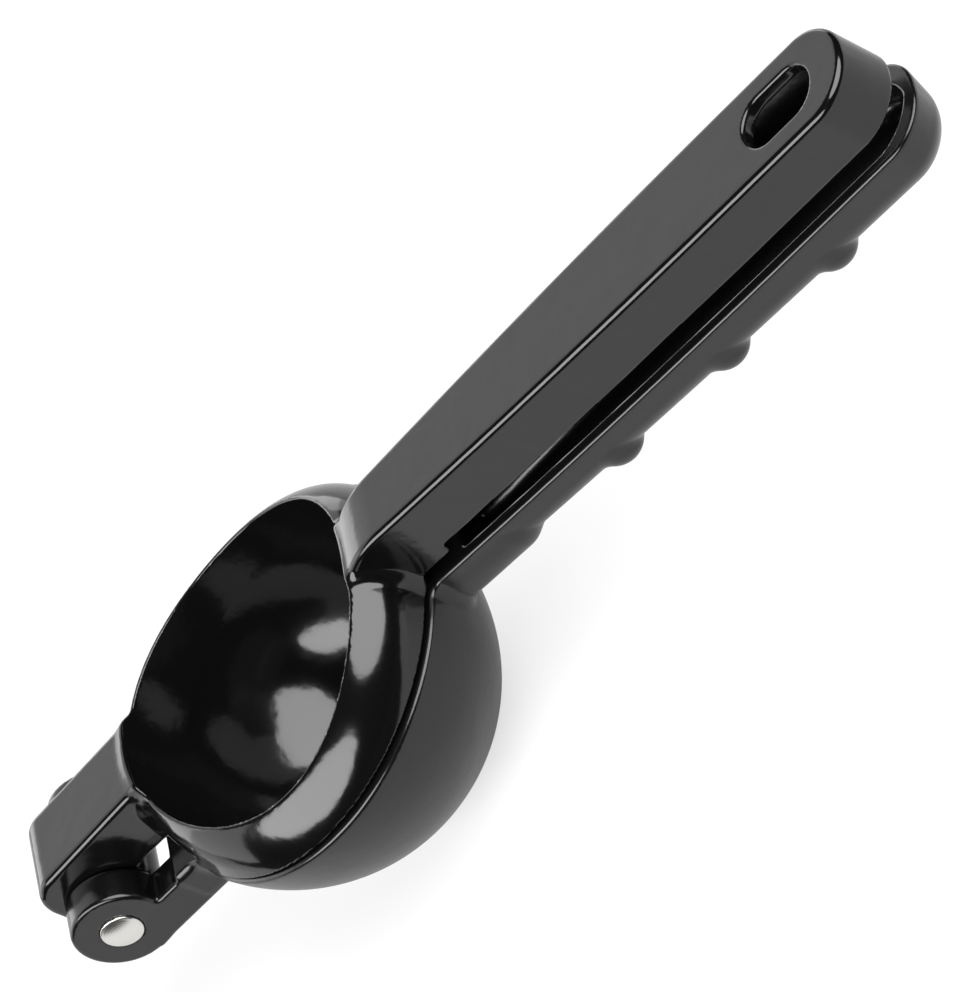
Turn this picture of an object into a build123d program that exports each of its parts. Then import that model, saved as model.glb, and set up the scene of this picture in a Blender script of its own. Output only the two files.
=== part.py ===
"""Hinged lemon squeezer, closed.

Two aluminium castings turn on one steel pin.  The lower casting is a hemispherical cup with drain
holes, a channel handle and two hinge ears.  The upper casting is a hollow pressing dome inside a
bulging collar, with an inverted channel handle on one side and the hinge arm on the other.

Frame: millimetres, +X along the handles, Y along the hinge pin, +Z up.  The origin is at the middle
of the bounding box, at the height of the lowest point of the cup.
"""

from build123d import *
from math import cos, radians, sin, sqrt, tan
import os

# Cup
cup_radius = 38.0  # outside of the cup, a part of a sphere
cup_wall = 3.0
cup_depth = 36.5  # parting plane down to the lowest point
rim_round = 0.6
drain_diameter = 4.0
drain_pitch = 9.0  # distance between the rings of drain holes
drain_rings = 2
drain_holes_in_ring = 6  # in the first ring; the second has twice as many, and so on

# Pressing half
press_height = 17.6  # parting plane up to the flat top of the handle
parting_gap = 0.8  # open joint between the collar and the cup rim
collar_inset = 1.4  # collar, inside the outside of the cup
collar_round = 7.5  # the collar bulges from its wall to the mouth of the dish
rim_width = 5.5  # outside of the collar to the mouth of the dish
dome_wall = 2.6
dome_side_gap = 2.0  # dome to the inside of the cup
dome_foot_gap = 1.6  # dome to the bottom of the cup
rim_drop = 1.9  # crown of the collar, below the top of the handle
rim_tilt = 2.2  # degrees, the rim rises towards the hinge
crown_radius = 92.0  # the collar is crowned across, so that its rim dips at both sides

# Handles, seen from above
handle_reach = 172.2  # cup axis to the end of the handles
handle_width = 20.0
neck_width = 14.1  # width where it leaves the collar
full_width_length = 27.2  # end of the handle to the place where it reaches its full width
handle_wall = 2.8
handle_draft = 1.2  # degrees, walls of the upper handle
channel_start = 46.7  # cup axis to the start of both channels

# Upper handle
top_depth = 12.6  # height of its side walls
handle_corner = 9.0  # corner radius of its rounded end
top_plate = 3.0
top_round = 1.3
roll_length = 12.0  # the top rolls down to the rim of the dish over this length
roll_proud = 0.15  # the rolled end stands this much above the collar
foot_inset = 0.6  # the underside of the neck starts to rise this far inside the collar
foot_rise = 2.1  # underside of the neck, above the lip of the collar
foot_ramp = 3.0  # length over which that underside rises
foot_round = 1.0
slot_length = 17.0
slot_width = 10.4
slot_margin = 8.0  # end of the handle to the end of the hanging slot
slot_round = 0.7

# Lower handle
grip_inset = 1.0  # it ends this much short of the upper handle
grip_margin = 0.3  # this much wider than the upper handle on each side
grip_draft = 7.0  # degrees
grip_corner = 10.1  # its end is nearly a half circle
grip_depth_neck = 10.3  # height of the handle beside the neck
grip_depth_end = 12.6  # height of the handle at its end
grip_round = 6.0  # the underside is rounded like a U
channel_depth = 7.6
neck_length = 58.5  # cup axis to the end of the thick neck
neck_round = 5.0
ridge_count = 3
ridge_first = 81.0
ridge_pitch = 28.5
ridge_radius = 6.0
ridge_height = 1.8

# Hinge
hinge_reach = 56.9  # cup axis to the pin
hinge_drop = 0.2  # pin below the parting plane
pin_radius = 4.1
pin_chamfer = 0.3
pin_proud = 0.8  # each end of the pin stands out of its ear
running_fit = 0.05  # radial clearance of the pin in the arm
ear_radius = 9.5
ear_thickness = 7.2
ear_round = 0.8
ear_shank_drop = 0.9  # top of the ear's shank, below the pin
arm_width = 16.4
arm_clearance = 0.3  # arm to ear, each side
arm_eye_radius = 9.0
arm_drop = 1.9  # top of the arm beside the dish, below the top of the handle
arm_slope = 2.6  # degrees, the arm falls towards the hinge
arm_corner = 7.0
arm_web_rise = 1.6  # underside of the arm, above the parting plane
arm_round = 1.3

# Places worked out from the sizes
overlap = 3.0  # how far one form runs into another where they are joined
ear_face = arm_width / 2 + arm_clearance
ear_outer = ear_face + ear_thickness
cup_x = (hinge_reach + ear_radius - handle_reach) / 2
grip_reach = handle_reach - grip_inset
hinge_x = -hinge_reach  # from the cup axis
parting_z = cup_depth
hinge_z = parting_z - hinge_drop
top_z = parting_z + press_height
collar_bottom = parting_z + parting_gap
cup_inner = cup_radius - cup_wall
collar_radius = cup_radius - collar_inset
bowl_radius = collar_radius - rim_width
dome_radius = cup_inner - dome_side_gap
dome_center_z = cup_wall + dome_foot_gap + dome_radius
dome_top_z = max(dome_center_z, collar_bottom) + overlap
rim_z = top_z - rim_drop
rim_slope = tan(radians(rim_tilt))
rim_dip = collar_round - sqrt(collar_round**2 - max(collar_round - rim_width, 0) ** 2)
roll_end_z = rim_z - rim_dip - rim_slope * bowl_radius + roll_proud
flare_end = handle_reach - full_width_length
root_start = bowl_radius - overlap  # the handles and the arm start here, inside the rim

ground = Plane(origin=(cup_x, 0, 0))
side = Plane(origin=(cup_x, 0, 0), x_dir=(1, 0, 0), z_dir=(0, -1, 0))
across = Plane(origin=(cup_x, 0, 0), x_dir=(0, 1, 0), z_dir=(1, 0, 0))
cup_axis = Axis((cup_x, 0, 0), (0, 0, 1))


def half_width(x):
    """Half the width of the upper handle, on the long arc of its flare or past it."""
    rise = (handle_width - neck_width) / 2
    run = flare_end - collar_radius
    arc = (run**2 + rise**2) / (2 * rise)
    return handle_width / 2 - arc + sqrt(arc**2 - max(flare_end - x, 0) ** 2)


def handle_plan(margin, end, corner):
    """Outline of a handle seen from above, from inside the cup to its end, grown by a margin."""
    half = handle_width / 2 + margin
    root = (root_start, half_width(root_start) + margin)
    with BuildSketch(Plane.XY, mode=Mode.PRIVATE) as plan:
        with BuildLine():
            flare = TangentArc((flare_end, half), root, tangent=(-1, 0))
            shank = Line(flare @ 0, (end - corner, half))
            turn = TangentArc(shank @ 1, (end, half - corner), tangent=(1, 0))
            Polyline(turn @ 1, (end, 0), (root_start, 0), root)
        make_face()
        mirror(about=Plane.XZ)
    return plan.sketch


def grip_depth(x):
    """Height of the lower handle, which grows evenly towards its end."""
    share = (x - neck_length) / (grip_reach - neck_length)
    return grip_depth_neck + share * (grip_depth_end - grip_depth_neck)


def grip_half_width(x, z):
    """Half the width of the lower handle at a height, where its drafted walls are."""
    return half_width(x) + grip_margin - (parting_z - z) * tan(radians(grip_draft))


# ---------------------------------------------------------------- cup half
with BuildPart() as grip:
    # Plan of the lower handle with its draft, cut to its side profile
    with BuildSketch(ground.offset(parting_z)):
        add(handle_plan(grip_margin, grip_reach, grip_corner))
    extrude(amount=-grip_depth_end, taper=grip_draft)
    with BuildSketch(side):
        Polygon(
            (0, parting_z),
            (grip_reach, parting_z),
            (grip_reach, parting_z - grip_depth_end),
            (0, parting_z - grip_depth(0)),
            align=None,
        )
    extrude(amount=handle_width, both=True, mode=Mode.INTERSECT)
    underside = grip.faces().sort_by(Axis.Z)[0]
    fillet(underside.edges().sort_by(Axis.X)[1:], grip_round)
    fillet(grip.faces().sort_by(Axis.Z)[-1].edges().sort_by(Axis.X)[1:], rim_round)

with BuildPart() as ridges:
    # Finger ridges across the underside, with round ends
    for n in range(ridge_count):
        x = ridge_first + n * ridge_pitch
        z = parting_z - grip_depth(x) - ridge_height + ridge_radius
        reach = grip_half_width(x, z) - ridge_radius
        with BuildSketch(side.offset(-reach)):
            with Locations((x, z)):
                Circle(ridge_radius)
        extrude(amount=2 * reach)
        with Locations((cup_x + x, -reach, z), (cup_x + x, reach, z)):
            Sphere(ridge_radius)

with BuildPart() as neck:
    # Thick root of the lower handle, as wide as it and as far below it as the ridges
    neck_z = parting_z - grip_depth(neck_length) - ridge_height + ridge_radius
    for x in (root_start, neck_length):
        with BuildSketch(across.offset(x)):
            with Locations((0, neck_z)):
                SlotOverall(2 * grip_half_width(x, neck_z), 2 * ridge_radius)
    loft()
    fillet(neck.faces().sort_by(Axis.X)[-1].edges(), neck_round)

with BuildPart() as channel:
    # Hollow of the lower handle, rounded along its floor
    with BuildSketch(ground.offset(parting_z)):
        add(offset(handle_plan(grip_margin, grip_reach, grip_corner), amount=-handle_wall, mode=Mode.PRIVATE))
        with Locations((channel_start, 0)):
            Rectangle(handle_reach, handle_width, align=(Align.MIN, Align.CENTER), mode=Mode.INTERSECT)
    extrude(amount=-channel_depth)
    fillet(channel.faces().sort_by(Axis.Z)[0].edges(), grip_round - handle_wall)

with BuildPart() as ear:
    # Hinge ear: an eye round the pin and a shank back to the cup
    with BuildSketch(side.offset(ear_face)):
        with Locations((hinge_x, hinge_z)):
            Circle(ear_radius)
        with Locations((hinge_x, hinge_z - ear_shank_drop)):
            Rectangle(
                hinge_reach - cup_inner + overlap, ear_radius - ear_shank_drop, align=(Align.MIN, Align.MAX)
            )
    extrude(amount=ear_thickness)
    fillet(ear.faces().filter_by(Axis.Y).edges(), ear_round)

with BuildPart() as cup_half:
    # Outside of the cup
    rim_outer = sqrt(cup_radius**2 - (cup_radius - parting_z) ** 2)
    with BuildSketch(side):
        with BuildLine():
            bowl = RadiusArc((0, 0), (rim_outer, parting_z), -cup_radius)
            Polyline(bowl @ 1, (0, parting_z), bowl @ 0)
        make_face()
    revolve(axis=cup_axis)
    fillet(cup_half.faces().sort_by(Axis.Z)[-1].edges(), rim_round)
    add(grip.part)
    add(neck.part)
    add(ridges.part)
    add(ear.part)
    mirror(ear.part, about=Plane.XZ)

    # Inside of the cup
    inner_top = sqrt(cup_inner**2 - (cup_radius - parting_z) ** 2)
    with BuildSketch(side):
        with BuildLine():
            hollow = RadiusArc((0, cup_wall), (inner_top, parting_z), -cup_inner)
            Polyline(hollow @ 1, (0, parting_z), hollow @ 0)
        make_face()
    revolve(axis=cup_axis, mode=Mode.SUBTRACT)
    add(channel.part, mode=Mode.SUBTRACT)

    # Pin bore through both ears
    with BuildSketch(side.offset(ear_outer)):
        with Locations((hinge_x, hinge_z)):
            Circle(pin_radius)
    extrude(amount=-2 * ear_outer, mode=Mode.SUBTRACT)

    # Drain holes in rings round the lowest point
    with BuildSketch(ground):
        Circle(drain_diameter / 2)
        for ring in range(1, drain_rings + 1):
            with PolarLocations(ring * drain_pitch, ring * drain_holes_in_ring):
                Circle(drain_diameter / 2)
    extrude(amount=cup_radius / 2, mode=Mode.SUBTRACT)

# --------------------------------------------------------------- press half
with BuildPart() as collar:
    # Bulging collar, crowned across and tilted
    with BuildSketch(side):
        with Locations((0, collar_bottom)):
            Rectangle(collar_radius, press_height, align=(Align.MIN, Align.MIN))
    revolve(axis=cup_axis)
    tilt = radians(rim_tilt)
    crown = Plane(origin=(cup_x, 0, rim_z), x_dir=(0, 1, 0), z_dir=(cos(tilt), 0, -sin(tilt)))
    with BuildSketch(crown):
        with Locations((0, -crown_radius)):
            Circle(crown_radius)
    extrude(amount=2 * collar_radius, both=True, mode=Mode.INTERSECT)
    fillet(collar.faces().sort_by(Axis.Z)[-1].edges(), collar_round)

with BuildPart() as top_handle:
    # Plan of the upper handle, cut to its side profile
    with BuildSketch(ground.offset(top_z)):
        add(handle_plan(0, handle_reach, handle_corner))
    extrude(amount=collar_bottom - top_z, taper=handle_draft)
    wall_foot = top_z - top_depth
    foot_x = collar_radius - foot_inset
    with BuildSketch(side):
        with BuildLine():
            roll = TangentArc((bowl_radius + roll_length, top_z), (bowl_radius, roll_end_z), tangent=(-1, 0))
            inlet = PolarLine(roll @ 1, overlap, direction=roll % 1)
            outline = FilletPolyline(
                (root_start, collar_bottom),
                (foot_x, collar_bottom),
                (foot_x + foot_ramp, collar_bottom + foot_rise),
                (channel_start, collar_bottom + foot_rise),
                (channel_start, wall_foot),
                (handle_reach, wall_foot),
                radius=foot_round,
            )
            Polyline(outline @ 1, (handle_reach, top_z), roll @ 0)
            Line(inlet @ 1, outline @ 0)
        make_face()
    extrude(amount=handle_width, both=True, mode=Mode.INTERSECT)
    with BuildSketch(ground.offset(top_z)):
        with Locations((handle_reach - slot_margin - slot_length / 2, 0)):
            SlotOverall(slot_length, slot_width)
    extrude(amount=-top_depth, mode=Mode.SUBTRACT)
    top_face = top_handle.faces().filter_by(Axis.Z).sort_by(Axis.Z)[-1]
    fillet(top_face.outer_wire().edges().sort_by(Axis.X)[1:], top_round)
    fillet(top_handle.faces().filter_by(Axis.Z).sort_by(Axis.Z)[-1].inner_wires().edges(), slot_round)

with BuildPart() as arm:
    # Side profile of the hinge arm, as wide as the gap between the ears
    arm_end = hinge_x - arm_eye_radius
    arm_top_z = top_z - arm_drop
    arm_end_z = arm_top_z + tan(radians(arm_slope)) * (arm_end + root_start)
    web_z = parting_z + arm_web_rise
    with BuildSketch(side) as arm_profile:
        Polygon(
            (-root_start, arm_top_z),
            (arm_end, arm_end_z),
            (arm_end, hinge_z),
            (hinge_x + arm_eye_radius, hinge_z),
            (hinge_x + arm_eye_radius, web_z),
            (-root_start, web_z),
            align=None,
        )
        fillet(arm_profile.vertices().sort_by(Axis.X)[0:2].sort_by(Axis.Y)[-1], arm_corner)
        with Locations((hinge_x, hinge_z)):
            Circle(arm_eye_radius)
    extrude(amount=arm_width / 2, both=True)
    fillet(arm.faces().filter_by(Axis.Y).edges(), arm_round)

with BuildPart() as press_half:
    add(collar.part)
    add(top_handle.part)
    add(arm.part)

    # Pressing dome under the collar
    with BuildSketch(side):
        with BuildLine():
            dome = RadiusArc((0, dome_center_z - dome_radius), (dome_radius, dome_center_z), -dome_radius)
            Polyline(dome @ 1, (dome_radius, dome_top_z), (0, dome_top_z), dome @ 0)
        make_face()
    revolve(axis=cup_axis)

    # Inside of the dish
    bowl_floor_radius = dome_radius - dome_wall
    with BuildSketch(side):
        with BuildLine():
            dish = RadiusArc(
                (0, dome_center_z - bowl_floor_radius), (bowl_floor_radius, dome_center_z), -bowl_floor_radius
            )
            mouth = Line(dish @ 1, (bowl_radius, rim_z))
            Polyline(mouth @ 1, (bowl_radius, top_z + overlap), (0, top_z + overlap), dish @ 0)
        make_face()
    revolve(axis=cup_axis, mode=Mode.SUBTRACT)

    # Channel under the handle
    with BuildSketch(ground.offset(collar_bottom)):
        add(offset(handle_plan(0, handle_reach, handle_corner), amount=-handle_wall, mode=Mode.PRIVATE))
        with Locations((channel_start, 0)):
            Rectangle(handle_reach, handle_width, align=(Align.MIN, Align.CENTER), mode=Mode.INTERSECT)
    extrude(amount=top_z - top_plate - collar_bottom, mode=Mode.SUBTRACT)

    # Running bore for the pin
    with BuildSketch(side.offset(arm_width)):
        with Locations((hinge_x, hinge_z)):
            Circle(pin_radius + running_fit)
    extrude(amount=-2 * arm_width, mode=Mode.SUBTRACT)

# --------------------------------------------------------------- hinge pin
with BuildPart() as hinge_pin:
    pin_half = ear_outer + pin_proud
    with BuildSketch(side.offset(pin_half)):
        with Locations((hinge_x, hinge_z)):
            Circle(pin_radius)
    extrude(amount=-2 * pin_half)
    chamfer(hinge_pin.edges().filter_by(GeomType.CIRCLE), pin_chamfer)

cup_half.part.label = "cup_half"
press_half.part.label = "press_half"
hinge_pin.part.label = "hinge_pin"

os.makedirs("parts", exist_ok=True)
for piece in (cup_half, press_half, hinge_pin):
    export_step(piece.part, f"parts/{piece.part.label}.step")
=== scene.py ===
"""Looks of the hinged lemon squeezer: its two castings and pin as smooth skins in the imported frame, their
finishes, soft studio light and the camera."""

import bpy
import numpy as np
from mathutils import Matrix, Vector


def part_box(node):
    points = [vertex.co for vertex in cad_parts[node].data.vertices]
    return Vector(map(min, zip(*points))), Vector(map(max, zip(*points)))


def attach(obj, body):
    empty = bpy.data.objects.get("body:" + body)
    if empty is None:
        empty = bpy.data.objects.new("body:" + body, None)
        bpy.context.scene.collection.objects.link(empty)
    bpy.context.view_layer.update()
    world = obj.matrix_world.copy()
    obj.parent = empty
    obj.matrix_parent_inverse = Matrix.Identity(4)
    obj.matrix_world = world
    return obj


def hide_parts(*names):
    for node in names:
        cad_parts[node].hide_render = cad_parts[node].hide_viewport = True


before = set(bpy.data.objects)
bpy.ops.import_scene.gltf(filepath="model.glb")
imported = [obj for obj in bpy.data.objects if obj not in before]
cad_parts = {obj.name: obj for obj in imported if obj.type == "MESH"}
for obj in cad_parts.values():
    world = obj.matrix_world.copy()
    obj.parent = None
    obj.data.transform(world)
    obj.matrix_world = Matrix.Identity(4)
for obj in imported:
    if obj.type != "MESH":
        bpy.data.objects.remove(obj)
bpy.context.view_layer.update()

# Camera: where it stands as seen from the object, and what it looks at
CAMERA_AZIMUTH = np.radians(-52.952)
CAMERA_ELEVATION = np.radians(33.746)
CAMERA_ROLL = np.radians(-67.018)
CAMERA_DISTANCE = 1.4965
CAMERA_AIM = Vector((0.00225, 0.0, 0.03711))
LENS_MM = 306.83
SENSOR_MM = 36.0

# Finishes, as sRGB colours, and patterns in cycles to a metre
ENAMEL_BLACK = "#0b0b0c"
STEEL_BRIGHT = "#e2e0dc"
PEEL = 420.0              # orange peel, 2.4 mm across
SWELL = 160.0             # slow waviness of the cast face, 6 mm across
LATHE_RINGS = 2000        # rings 0.5 mm apart
FLOOR_WHITE = "#959595"   # as the camera sees the floor, before it is lifted to white
FLOOR_LIFT = 0.66         # glow that lifts it there

# Round soft boxes and plain panels: azimuth and elevation from the object in degrees, distance,
# width, height, radiance
KEY_BOX = (-8.0, 46.0, 0.90, 1.06, 1.00, 6.0)
SIDE_BOX = (-116.0, 30.0, 0.90, 1.06, 0.58, 7.0)
BACK_PANEL = (132.0, 26.0, 1.20, 2.40, 1.40, 1.15)
LOW_PANEL = (118.0, 4.0, 1.40, 2.20, 0.70, 1.30)
END_PANEL = (-178.0, 16.0, 1.20, 0.90, 0.90, 1.50)

# Painted reflection on the floor, seen by the gloss alone: a grey sheet under the object, painted black
# beyond it; how far the sheet runs out along the handles, how far it comes forward, and how softly it ends
PAINTED_SHEET_END = 0.16
PAINTED_SHEET_REACH = 0.086
PAINTED_SHEET_FADE = 0.014
# grey of the painted sheet, dimmer than the floor the camera sees, so that the enamel mirrors less of it
PAINTED_SHEET_GREY = "#c0c0c0"


# ---------------------------------------------------------------- helpers
def linear(hex_colour):
    """Linear colour of an sRGB hex value."""
    srgb = np.array([int(hex_colour[i:i + 2], 16) for i in (1, 3, 5)]) / 255
    return (*np.where(srgb <= 0.04045, srgb / 12.92, ((srgb + 0.055) / 1.055) ** 2.4), 1.0)


def add_node(material, kind, settings=None, links=None):
    """A new shader node with its settings, and links from other nodes' outputs to its inputs."""
    node = material.node_tree.nodes.new(kind)
    for name, value in (settings or {}).items():
        if isinstance(name, int) or name in node.inputs.keys():
            node.inputs[name].default_value = value
        else:
            setattr(node, name, value)
    for name, output in (links or {}).items():
        material.node_tree.links.new(output, node.inputs[name])
    return node


def new_material(name):
    """An empty node material and its surface socket."""
    material = bpy.data.materials.new(name)
    material.use_nodes = True
    material.node_tree.nodes.clear()
    output = material.node_tree.nodes.new("ShaderNodeOutputMaterial")
    return material, output.inputs["Surface"]


# ---------------------------------------------------------------- castings
# Millimetres, x from the axis of the cup, as in a maker's drawing
CUP_X = -52.9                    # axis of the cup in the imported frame
PARTING = 36.5                   # top of the cup half
COLLAR_FOOT = 37.1               # underside of the collar, a running gap above it
TOP = 54.1                       # flat top of the upper handle
HINGE_X, HINGE_Z = -56.9, 36.3   # axis of the hinge pin
PIN_RADIUS, ARM_BORE = 4.1, 4.15
BURIED = 25.0                    # handles, arm and root start this far out, inside the walls they join

COLLAR_RADIUS = 37.0
RIM_ARC = 92.0                   # radius of the saddle across the rim
DOME_Z, DOME_RADIUS, DISH_RADIUS = 37.6, 33.0, 30.4
CUP_Z, CUP_OUTSIDE, CUP_INSIDE = 38.0, 38.0, 35.0

CHANNEL_START = 46.7
UPPER_END = 172.2
UPPER_DRAFT, LOWER_DRAFT = 0.02095, 0.1228   # how fast the sides of each handle draw in, mm for each mm
SLOT_X, SLOT_STRAIGHT, SLOT_RADIUS = 155.7, 3.3, 5.2

NECK_END = 58.5
NECK_RADIUS = 6.0
UNDERSIDE, UNDERSIDE_RISE = 10.3, 0.02041    # depth of the lower handle at the neck's end, and its growth
RIDGES, RIDGE_RADIUS = (81.0, 109.5, 138.0), 5.3
DRAIN_RADIUS, DRAIN_RINGS = 2.0, ((9.0, 6), (18.0, 12))

CELL = 0.5                       # grid on which a casting's skin is found
FACES = 195000                   # triangles left after thinning


def blend(a, b, radius):
    """Union of two distance fields; a round fillet fills the inner corner where both come near."""
    under = np.hypot(np.maximum(radius - a, 0), np.maximum(radius - b, 0))
    return np.maximum(radius, np.minimum(a, b)) - under


def common(a, b, radius):
    """What two distance fields share; the outer corner is a round of this radius."""
    over = np.hypot(np.maximum(radius + a, 0), np.maximum(radius + b, 0))
    return np.minimum(-radius, np.maximum(a, b)) + over


def carve(a, b, radius):
    """The first field less the second, with its new edges rounded."""
    return common(a, -b, radius)


def ease(x, start, end):
    """From 0 at the start to 1 at the end, with a slope of nothing at both."""
    part = np.clip((x - start) / (end - start), 0, 1)
    return part * part * (3 - 2 * part)


def half_width(x):
    """Half the width of a handle: one long arc widens it from the collar, 7.05 mm, to 10 mm at x 145."""
    rise, run = 2.95, 108.4
    arc = (run**2 + rise**2) / (2 * rise)
    return 10.0 - arc + np.sqrt(arc**2 - np.clip(145.0 - x, 0, 150) ** 2)


def plan(x, y, inset, end, corner):
    """Distance to the outline of a handle seen from above, drawn in by the inset, with its end rounded at
    the corners."""
    return common(np.abs(y) - half_width(x) + inset, x - end + inset, corner)


def upper_casting(x, y, z):
    """Distance to the pressing half: a bulging saddle-rimmed collar, a channel handle and the hinge arm,
    blended together; a ball below them; less the dish, the channel, the hanging slot and the bore.
    The collar's wall leans in towards the hinge, and its bulge is fuller towards the handle."""
    r = np.hypot(x, y)
    # collar: a leaning wall and a saddle crown meet in the bulge
    bulge = 8.0 + 2.5 * ease(x, 0.0, 32.0)
    lean = 0.28 * ease(-x, -26.0, 14.0)
    wall = (r - COLLAR_RADIUS - 1.8 * lean + lean * (z - COLLAR_FOOT)) / np.hypot(1, lean)
    rise = 52.2 - 0.0384 * x + 0.3 * (bulge - 7.5)
    crown = (z - rise + RIM_ARC - np.sqrt(RIM_ARC**2 - y**2)) / np.sqrt(1 + (y / RIM_ARC) ** 2)
    body = common(common(wall, crown, bulge), COLLAR_FOOT - z, 0.4)

    # handle: its top rolls down to the collar, its foot steps up where the channel starts
    walls = plan(x, y, (TOP - z) * UPPER_DRAFT, UPPER_END, 9.6)
    top = np.hypot(np.minimum(x - 43.1, 0), z - 30.1) - 24.0
    ramp = (37.3 + 0.7 * (x - 36.0) - z) / 1.2207
    foot = blend(TOP - 12.6 - z, common(x - CHANNEL_START, blend(39.4 - z, ramp, 0.5), 1.0), 1.0)
    handle = common(common(walls, top, 1.3), foot, 0.5)
    handle = common(handle, BURIED - x, 0.5)
    body = blend(body, handle, 2.5)
    channel = common(plan(x, y, 2.8, UPPER_END, 9.0), CHANNEL_START - x, 1.0)
    body = carve(body, common(channel, z - TOP + 3.0, 1.0), 0.5)
    slot = np.hypot(np.maximum(np.abs(x - SLOT_X) - SLOT_STRAIGHT, 0), y) - SLOT_RADIUS
    body = carve(body, slot, 0.7)

    # hinge arm: a sloping top, a rounded nose, and an eye round the pin
    arm_top = (z - 52.2 - 0.04541 * (x + 28.1)) * 0.99897
    eye = np.hypot(x - HINGE_X, z - HINGE_Z) - 9.0
    under = blend(38.1 - z, common(x + 47.9, HINGE_Z - z, 0.3), 0.5)
    profile = blend(common(common(arm_top, -65.9 - x, 7.0), under, 0.3), eye, 1.0)
    arm = common(common(profile, np.abs(y) - 8.2, 1.3), x + BURIED, 0.5)
    body = blend(body, arm, 3.2)

    # pressing dome under the collar, and the dish inside it
    ball = np.hypot(r, z - DOME_Z)
    body = blend(body, common(ball - DOME_RADIUS, z - 41.0, 0.5), 0.5)
    dish = np.where(z < DOME_Z, ball - DISH_RADIUS, r - DISH_RADIUS - 0.048 * (z - DOME_Z))
    body = carve(body, dish, 0.9)
    return carve(body, np.hypot(x - HINGE_X, z - HINGE_Z) - ARM_BORE, 0.3)


def drains(x, y, z):
    """Distance to the drain holes: one in the middle, rings of 6 and 12 folded onto one spoke each."""
    r, turn = np.hypot(x, y), np.arctan2(y, x)
    near = r
    for ring, count in DRAIN_RINGS:
        part = np.abs((turn + np.pi / count) % (2 * np.pi / count) - np.pi / count)
        near = np.minimum(near, np.hypot(r * np.cos(part) - ring, r * np.sin(part)))
    return common(near - DRAIN_RADIUS, z - 19.0, 0.1)


def lower_casting(x, y, z):
    """Distance to the cup half: a ball cut off at the parting plane, a handle rounded below with a thick
    neck and three finger ridges, two ears with a cast root between them, blended together; less the bowl,
    channel, bore and drains."""
    ball = np.hypot(np.hypot(x, y), z - CUP_Z)
    below = PARTING - z
    depth = UNDERSIDE + (x - NECK_END) * UNDERSIDE_RISE
    end = 171.6 - 0.17 * below   # the end wall leans in as it goes down, and the channel's with it
    walls = plan(x, y, below * LOWER_DRAFT - 0.3, end, 9.3)
    grip = common(common(walls, z - 80.0, 0.1), below - depth, 6.0)
    body = blend(ball - CUP_OUTSIDE, common(grip, BURIED - x, 0.5), 2.0)
    neck_z = PARTING - 6.1
    neck = np.hypot(np.maximum(np.abs(y) - half_width(x) + 6.45, 0), z - neck_z) - NECK_RADIUS
    body = blend(body, common(common(neck, x - NECK_END, 5.0), BURIED - x, 0.5), 2.0)
    for at in RIDGES:
        level = PARTING - UNDERSIDE - (at - NECK_END) * UNDERSIDE_RISE + 3.3
        reach = half_width(at) + 0.7 - (PARTING - level) * LOWER_DRAFT - RIDGE_RADIUS
        beyond = np.maximum(np.abs(y) - reach, 0)
        ridge = np.sqrt((x - at) ** 2 + beyond**2 + (z - level) ** 2) - RIDGE_RADIUS
        body = blend(body, ridge, 0.9)

    # ears either side of the arm, and the root that joins them to the cup
    eye = np.hypot(x - HINGE_X, z - HINGE_Z) - 9.5
    shank = common(common(z - 35.4, 26.8 - z, 0.5), common(HINGE_X - x, x + 32.0, 0.5), 0.5)
    ears = common(blend(eye, shank, 0.8), np.abs(np.abs(y) - 12.1) - 3.6, 0.8)
    body = blend(body, ears, 3.0)
    root = common(common(np.abs(y) - 15.4, -41.3 - x, 1.0), common(x + BURIED, 28.0 - z, 1.0), 1.0)
    body = blend(body, root, 1.2)
    # parting plane, which stops short of the ears
    body = common(body, np.where(x > -47.0, z - PARTING, -100.0), 0.9)

    body = carve(body, ball - CUP_INSIDE, 0.6)
    channel = common(plan(x, y, 2.5, end, 9.3), CHANNEL_START - x, 1.0)
    body = carve(body, common(channel, 28.9 - z, 3.2), 0.7)
    body = carve(body, np.hypot(x - HINGE_X, z - HINGE_Z) - PIN_RADIUS, 0.3)
    return carve(body, drains(x, y, z), 0.5)


def skin(field, low, high, step):
    """Skin of a distance field on a grid of cells: one vertex in each cell that the surface crosses, at the
    mean of its crossings of the cell's edges, and one face round each grid edge that it crosses."""
    axes = [np.arange(a, b + step, step) for a, b in zip(low, high)]
    shape = tuple(len(axis) for axis in axes)
    y, z = np.meshgrid(axes[1], axes[2], indexing="ij")
    value = np.stack([field(np.full_like(y, x), y, z).astype(np.float32) for x in axes[0]])
    inside = value < 0
    rings, crossings = [], []
    for axis in range(3):
        near = tuple(slice(None, -1) if k == axis else slice(None) for k in range(3))
        far = tuple(slice(1, None) if k == axis else slice(None) for k in range(3))
        at = np.argwhere(inside[near] != inside[far])
        unit = np.eye(3, dtype=int)
        first, second = value[tuple(at.T)], value[tuple((at + unit[axis]).T)]
        crossing = at + unit[axis] * (first / (first - second))[:, None]
        b, c = unit[(axis + 1) % 3], unit[(axis + 2) % 3]
        ring = np.stack([np.ravel_multi_index((at - b * i - c * j).T, shape)
                         for i, j in ((0, 0), (1, 0), (1, 1), (0, 1))], axis=1)
        enters = ~inside[tuple(at.T)]
        ring[enters] = ring[enters, ::-1]
        rings.append(ring)
        crossings.append(np.repeat(crossing, 4, axis=0))
    index = np.unique(np.concatenate(rings).ravel(), return_inverse=True)[1]
    crossings = np.concatenate(crossings)
    share = np.bincount(index)
    points = np.stack([np.bincount(index, crossings[:, k]) / share for k in range(3)], axis=1)
    return np.array(low) + points * step, index.reshape(-1, 4)


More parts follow.
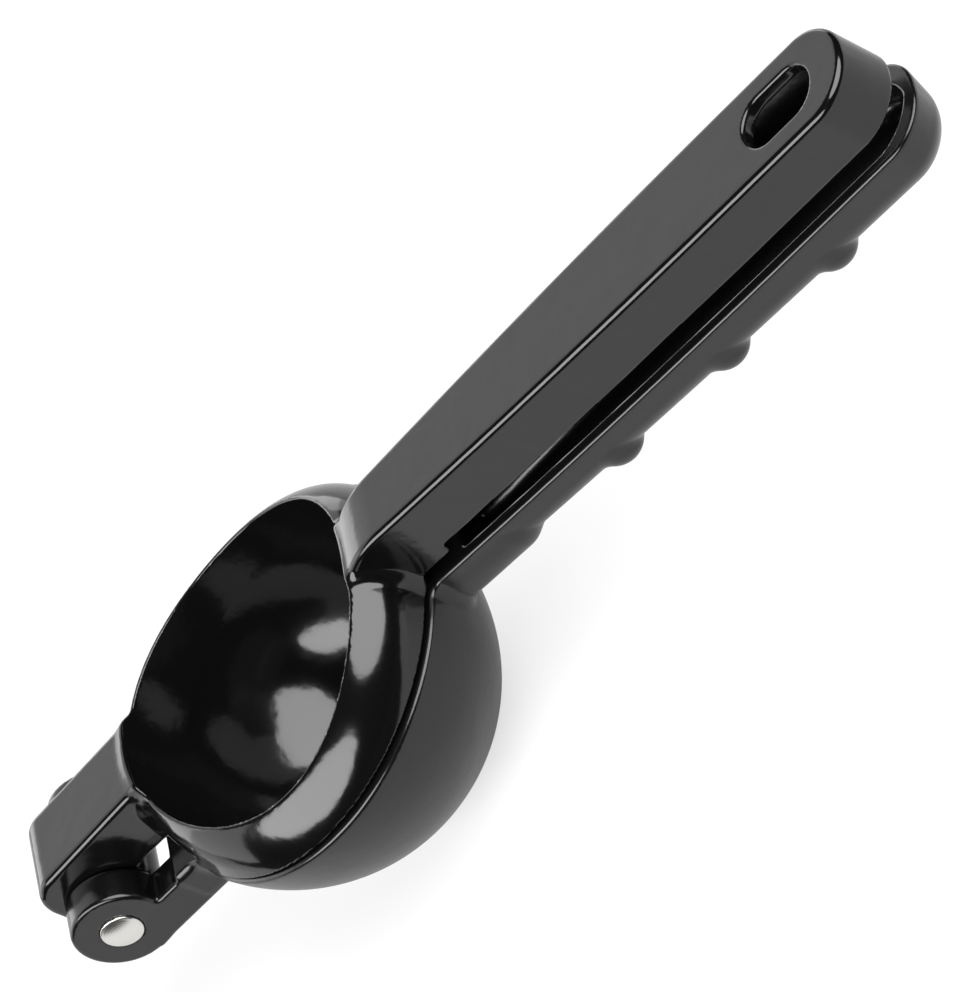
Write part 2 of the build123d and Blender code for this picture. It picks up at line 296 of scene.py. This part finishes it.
def settle(field, points, rounds=4):
    """Points moved along the field's slope until they lie on the surface, and the surface's normals."""
    for last in [False] * rounds + [True]:
        slope = np.stack([
            (field(*(points + e).T) - field(*(points - e).T)) / 0.04 for e in 0.02 * np.eye(3)
        ], 1)
        if not last:
            points = points - (field(*points.T) / np.maximum((slope**2).sum(1), 0.3))[:, None] * slope
    return points, slope / np.linalg.norm(slope, axis=1, keepdims=True)


def casting(name, field, low, high):
    """One casting: the skin of its field, thinned where it is flat, set back on the surface and given the
    surface's own normals."""
    points, quads = skin(field, low, high, CELL)
    points, _ = settle(field, points)
    mesh = bpy.data.meshes.new(name)
    mesh.from_pydata(points, [], quads)
    piece = bpy.data.objects.new(name, mesh)
    bpy.context.scene.collection.objects.link(piece)
    thin = piece.modifiers.new("thin", "DECIMATE")
    thin.ratio = min(1.0, FACES / (2 * len(quads)))
    thinned = bpy.data.meshes.new_from_object(piece.evaluated_get(bpy.context.evaluated_depsgraph_get()))
    piece.modifiers.clear()
    piece.data = thinned
    thinned.name = name
    flat = np.empty(3 * len(thinned.vertices))
    thinned.vertices.foreach_get("co", flat)
    points, normals = settle(field, flat.reshape(-1, 3))
    thinned.vertices.foreach_set("co", ((points + (CUP_X, 0, 0)) / 1000).ravel())
    thinned.polygons.foreach_set("use_smooth", np.ones(len(thinned.polygons), bool))
    thinned.update()
    thinned.normals_split_custom_set_from_vertices(normals)
    return piece


def turned_pin(low, high, radius):
    """The pin between two y values: a profile of radius against length, turned round the hinge's axis.  Each
    end is a shallow dome with a small round where it meets the side."""
    dome_high, edge, sides = 0.45, 0.3, 96
    bend = np.linspace(0, 1, 13)
    quarter = bend[1:] * np.pi / 2
    dome = np.stack([(radius - edge) * bend, dome_high * (1 - bend**2)], 1)
    corner_round = np.stack([radius - edge + edge * np.sin(quarter), edge * np.cos(quarter) - edge], 1)
    half = np.concatenate([dome[1:], corner_round])
    reach, along = half[:, 0], half[:, 1] - dome_high
    reach = np.concatenate([reach, reach[::-1]])
    along = np.concatenate([high + along, (low - along)[::-1]])
    turn = np.arange(sides) * 2 * np.pi / sides
    rings = np.stack(np.broadcast_arrays(
        HINGE_X + reach[:, None] * np.cos(turn), along[:, None], HINGE_Z + reach[:, None] * np.sin(turn)
    ), -1).reshape(-1, 3)
    points = np.concatenate([rings, [(HINGE_X, high, HINGE_Z), (HINGE_X, low, HINGE_Z)]])
    spokes = np.arange(sides)
    following = (spokes + 1) % sides
    row, spoke = np.meshgrid(np.arange(len(reach) - 1), spokes, indexing="ij")
    corner = row * sides + spoke
    beside = row * sides + (spoke + 1) % sides
    quads = np.stack([corner, corner + sides, beside + sides, beside], -1).reshape(-1, 4)
    last_ring = len(rings) - sides
    caps = np.concatenate([
        np.stack([np.full(sides, len(rings)), spokes, following], 1),
        np.stack([np.full(sides, len(rings) + 1), last_ring + following, last_ring + spokes], 1),
    ])
    mesh = bpy.data.meshes.new("turned_pin")
    mesh.from_pydata((points + (CUP_X, 0, 0)) / 1000, [], quads.tolist() + caps.tolist())
    mesh.polygons.foreach_set("use_smooth", np.ones(len(mesh.polygons), bool))
    piece = bpy.data.objects.new("turned_pin", mesh)
    bpy.context.scene.collection.objects.link(piece)
    return piece


# ---------------------------------------------------------------- materials
def enamel(name, roughness):
    """Baked black enamel on cast aluminium: a hard gloss whose reflections waver, with a faint orange peel
    over the slow waviness of the casting."""
    material, surface = new_material(name)
    place = add_node(material, "ShaderNodeTexCoord").outputs["Object"]
    peel = add_node(
        material, "ShaderNodeTexNoise", {"Scale": PEEL, "Detail": 2.0, "Roughness": 0.5}, {"Vector": place}
    )
    swell = add_node(
        material, "ShaderNodeTexNoise", {"Scale": SWELL, "Detail": 2.0, "Roughness": 0.45}, {"Vector": place}
    )
    fine = add_node(
        material, "ShaderNodeBump", {"Strength": 0.05, "Distance": 0.0004}, {"Height": peel.outputs["Fac"]}
    )
    bump = add_node(
        material, "ShaderNodeBump", {"Strength": 0.16, "Distance": 0.0006},
        {"Height": swell.outputs["Fac"], "Normal": fine.outputs["Normal"]},
    )
    shader = add_node(
        material, "ShaderNodeBsdfPrincipled",
        {"Base Color": linear(ENAMEL_BLACK), "Roughness": roughness, "IOR": 1.55},
        {"Normal": bump.outputs["Normal"]},
    )
    material.node_tree.links.new(shader.outputs["BSDF"], surface)
    return material


def pin_steel():
    """Bright turned steel.  The lathe leaves rings round the axis, one to 0.15 mm, drawn here at 0.5 mm
    so that they show; they stretch a highlight across the end face."""
    material, surface = new_material("turned_steel")
    place = add_node(material, "ShaderNodeTexCoord").outputs["Object"]
    axis = ((CUP_X + HINGE_X) / 1000, 0, HINGE_Z / 1000)
    middle = add_node(material, "ShaderNodeVectorMath", {"operation": "SUBTRACT", 1: axis}, {0: place})
    flat = add_node(
        material, "ShaderNodeVectorMath", {"operation": "MULTIPLY", 1: (1, 0, 1)}, {0: middle.outputs[0]}
    )
    reach = add_node(material, "ShaderNodeVectorMath", {"operation": "LENGTH"}, {0: flat.outputs[0]})
    turn = add_node(
        material, "ShaderNodeMath", {"operation": "MULTIPLY", 1: LATHE_RINGS * 2 * np.pi},
        {0: reach.outputs["Value"]},
    )
    rings = add_node(material, "ShaderNodeMath", {"operation": "SINE"}, {0: turn.outputs[0]})
    bump = add_node(
        material, "ShaderNodeBump", {"Strength": 0.25, "Distance": 0.00001}, {"Height": rings.outputs[0]}
    )
    shader = add_node(
        material, "ShaderNodeBsdfPrincipled",
        {"Base Color": linear(STEEL_BRIGHT), "Metallic": 1.0, "Roughness": 0.22},
        {"Normal": bump.outputs["Normal"]},
    )
    material.node_tree.links.new(shader.outputs["BSDF"], surface)
    return material


def floor_paper_and_painted_reflection():
    """White floor.  The camera sees it evenly white with the shadow kept; the gloss sees a painted
    reflection: a grey strip that ends a few centimetres in front of the object, and painted black beyond it."""
    material, surface = new_material("white_paper_and_painted_reflection")
    # painted reflection: a grey that the gloss alone sees, dimmer than the floor the camera sees
    painted_grey_shader = add_node(material, "ShaderNodeBsdfDiffuse", {"Color": linear(PAINTED_SHEET_GREY)})
    shade = add_node(material, "ShaderNodeBsdfDiffuse", {"Color": linear(FLOOR_WHITE)})
    lift = add_node(material, "ShaderNodeEmission", {"Color": (1, 1, 1, 1), "Strength": FLOOR_LIFT})
    seen = add_node(material, "ShaderNodeAddShader")
    material.node_tree.links.new(shade.outputs[0], seen.inputs[0])
    material.node_tree.links.new(lift.outputs[0], seen.inputs[1])
    place = add_node(material, "ShaderNodeTexCoord").outputs["Object"]
    parts = add_node(material, "ShaderNodeSeparateXYZ", links={"Vector": place})
    # how far a point of the floor lies in front of the object's middle line, or past its handles
    past = add_node(
        material, "ShaderNodeMath", {"operation": "SUBTRACT", 1: PAINTED_SHEET_END}, {0: parts.outputs["X"]}
    )
    ends = add_node(material, "ShaderNodeMath", {"operation": "MAXIMUM", 1: 0.0}, {0: past.outputs[0]})
    front = add_node(material, "ShaderNodeMath", {"operation": "MINIMUM", 1: 0.0}, {0: parts.outputs["Y"]})
    flat = add_node(
        material, "ShaderNodeCombineXYZ", links={"X": ends.outputs[0], "Y": front.outputs[0]}
    )
    reach = add_node(material, "ShaderNodeVectorMath", {"operation": "LENGTH"}, {0: flat.outputs[0]})
    painted_black_mask = add_node(
        material, "ShaderNodeMapRange",
        {"From Min": PAINTED_SHEET_REACH, "From Max": PAINTED_SHEET_REACH + PAINTED_SHEET_FADE, "To Min": 0.0, "To Max": 1.0},
        {"Value": reach.outputs["Value"]},
    )
    # painted black that the gloss sees past the grey strip, though the floor is no darker there
    painted_black_shader = add_node(material, "ShaderNodeBsdfDiffuse", {"Color": (0.01, 0.01, 0.01, 1)})
    painted_reflection_mix = add_node(material, "ShaderNodeMixShader", links={0: painted_black_mask.outputs[0]})
    material.node_tree.links.new(painted_grey_shader.outputs[0], painted_reflection_mix.inputs[1])
    material.node_tree.links.new(painted_black_shader.outputs[0], painted_reflection_mix.inputs[2])
    ray = add_node(material, "ShaderNodeLightPath")
    either = add_node(material, "ShaderNodeMixShader", links={0: ray.outputs["Is Camera Ray"]})
    material.node_tree.links.new(painted_reflection_mix.outputs[0], either.inputs[1])
    material.node_tree.links.new(seen.outputs[0], either.inputs[2])
    material.node_tree.links.new(either.outputs[0], surface)
    return material


# ---------------------------------------------------------------- stage
def direction(azimuth, elevation):
    """Unit vector from the object towards an azimuth and elevation."""
    return Vector((
        np.cos(elevation) * np.cos(azimuth), np.cos(elevation) * np.sin(azimuth), np.sin(elevation)
    ))


def soft_box(name, shape, azimuth, elevation, distance, width, height, radiance):
    """A soft box that faces the object; its power gives the radiance wanted."""
    lamp = bpy.data.lights.new(name, "AREA")
    lamp.shape = shape
    lamp.size = width
    lamp.size_y = height
    lamp.energy = radiance * np.pi * width * height * (np.pi / 4 if shape == "ELLIPSE" else 1)
    box = bpy.data.objects.new(name, lamp)
    towards = direction(np.radians(azimuth), np.radians(elevation))
    box.location = CAMERA_AIM + distance * towards
    box.rotation_euler = towards.to_track_quat("Z", "Y").to_euler()
    box.visible_camera = False
    bpy.context.scene.collection.objects.link(box)


def make_stage():
    """Floor, soft boxes, camera and the white surroundings."""
    side = 3.0
    corners = [(-side, -side, 0), (side, -side, 0), (side, side, 0), (-side, side, 0)]
    mesh = bpy.data.meshes.new("floor")
    mesh.from_pydata(corners, [], [(0, 1, 2, 3)])
    floor = bpy.data.objects.new("floor", mesh)
    bpy.context.scene.collection.objects.link(floor)
    # floor: white to the camera, with a painted reflection for the gloss
    mesh.materials.append(floor_paper_and_painted_reflection())
    soft_box("key_box", "ELLIPSE", *KEY_BOX)
    soft_box("side_box", "ELLIPSE", *SIDE_BOX)
    soft_box("back_panel", "RECTANGLE", *BACK_PANEL)
    soft_box("low_panel", "RECTANGLE", *LOW_PANEL)
    soft_box("end_panel", "RECTANGLE", *END_PANEL)

    # white for the camera alone: the enamel mirrors a dark studio
    world = bpy.data.worlds.new("studio")
    bpy.context.scene.world = world
    world.use_nodes = True
    tree = world.node_tree
    ray = tree.nodes.new("ShaderNodeLightPath")
    tree.links.new(ray.outputs["Is Camera Ray"], tree.nodes["Background"].inputs["Strength"])
    tree.nodes["Background"].inputs["Color"].default_value = (1, 1, 1, 1)

    camera = bpy.data.objects.new("camera", bpy.data.cameras.new("camera"))
    camera.data.sensor_fit = "VERTICAL"
    camera.data.sensor_height = SENSOR_MM
    camera.data.lens = LENS_MM
    towards = direction(CAMERA_AZIMUTH, CAMERA_ELEVATION)
    turn = towards.to_track_quat("Z", "Y").to_matrix().to_4x4()
    roll = Matrix.Rotation(CAMERA_ROLL, 4, "Z")
    camera.matrix_world = Matrix.Translation(CAMERA_AIM + CAMERA_DISTANCE * towards) @ turn @ roll
    bpy.context.scene.collection.objects.link(camera)
    bpy.context.scene.camera = camera
    bpy.context.scene.view_settings.view_transform = "Standard"


make_stage()
press_casting = casting("press_casting", upper_casting, (-67.5, -38.5, 3.0), (173.5, 38.5, 55.5))
press_casting.data.materials.append(enamel("gloss_enamel", 0.12))
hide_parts("press_half")
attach(press_casting, "press")

cup_casting = casting("cup_casting", lower_casting, (-67.5, -39.5, -1.5), (172.5, 39.5, 47.0))
cup_casting.data.materials.append(enamel("satin_enamel", 0.2))
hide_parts("cup_half")
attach(cup_casting, "cup")

pin_low, pin_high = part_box("hinge_pin")
pin = turned_pin(pin_low[1] * 1000, pin_high[1] * 1000, PIN_RADIUS)
pin.data.materials.append(pin_steel())
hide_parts("hinge_pin")
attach(pin, "cup")
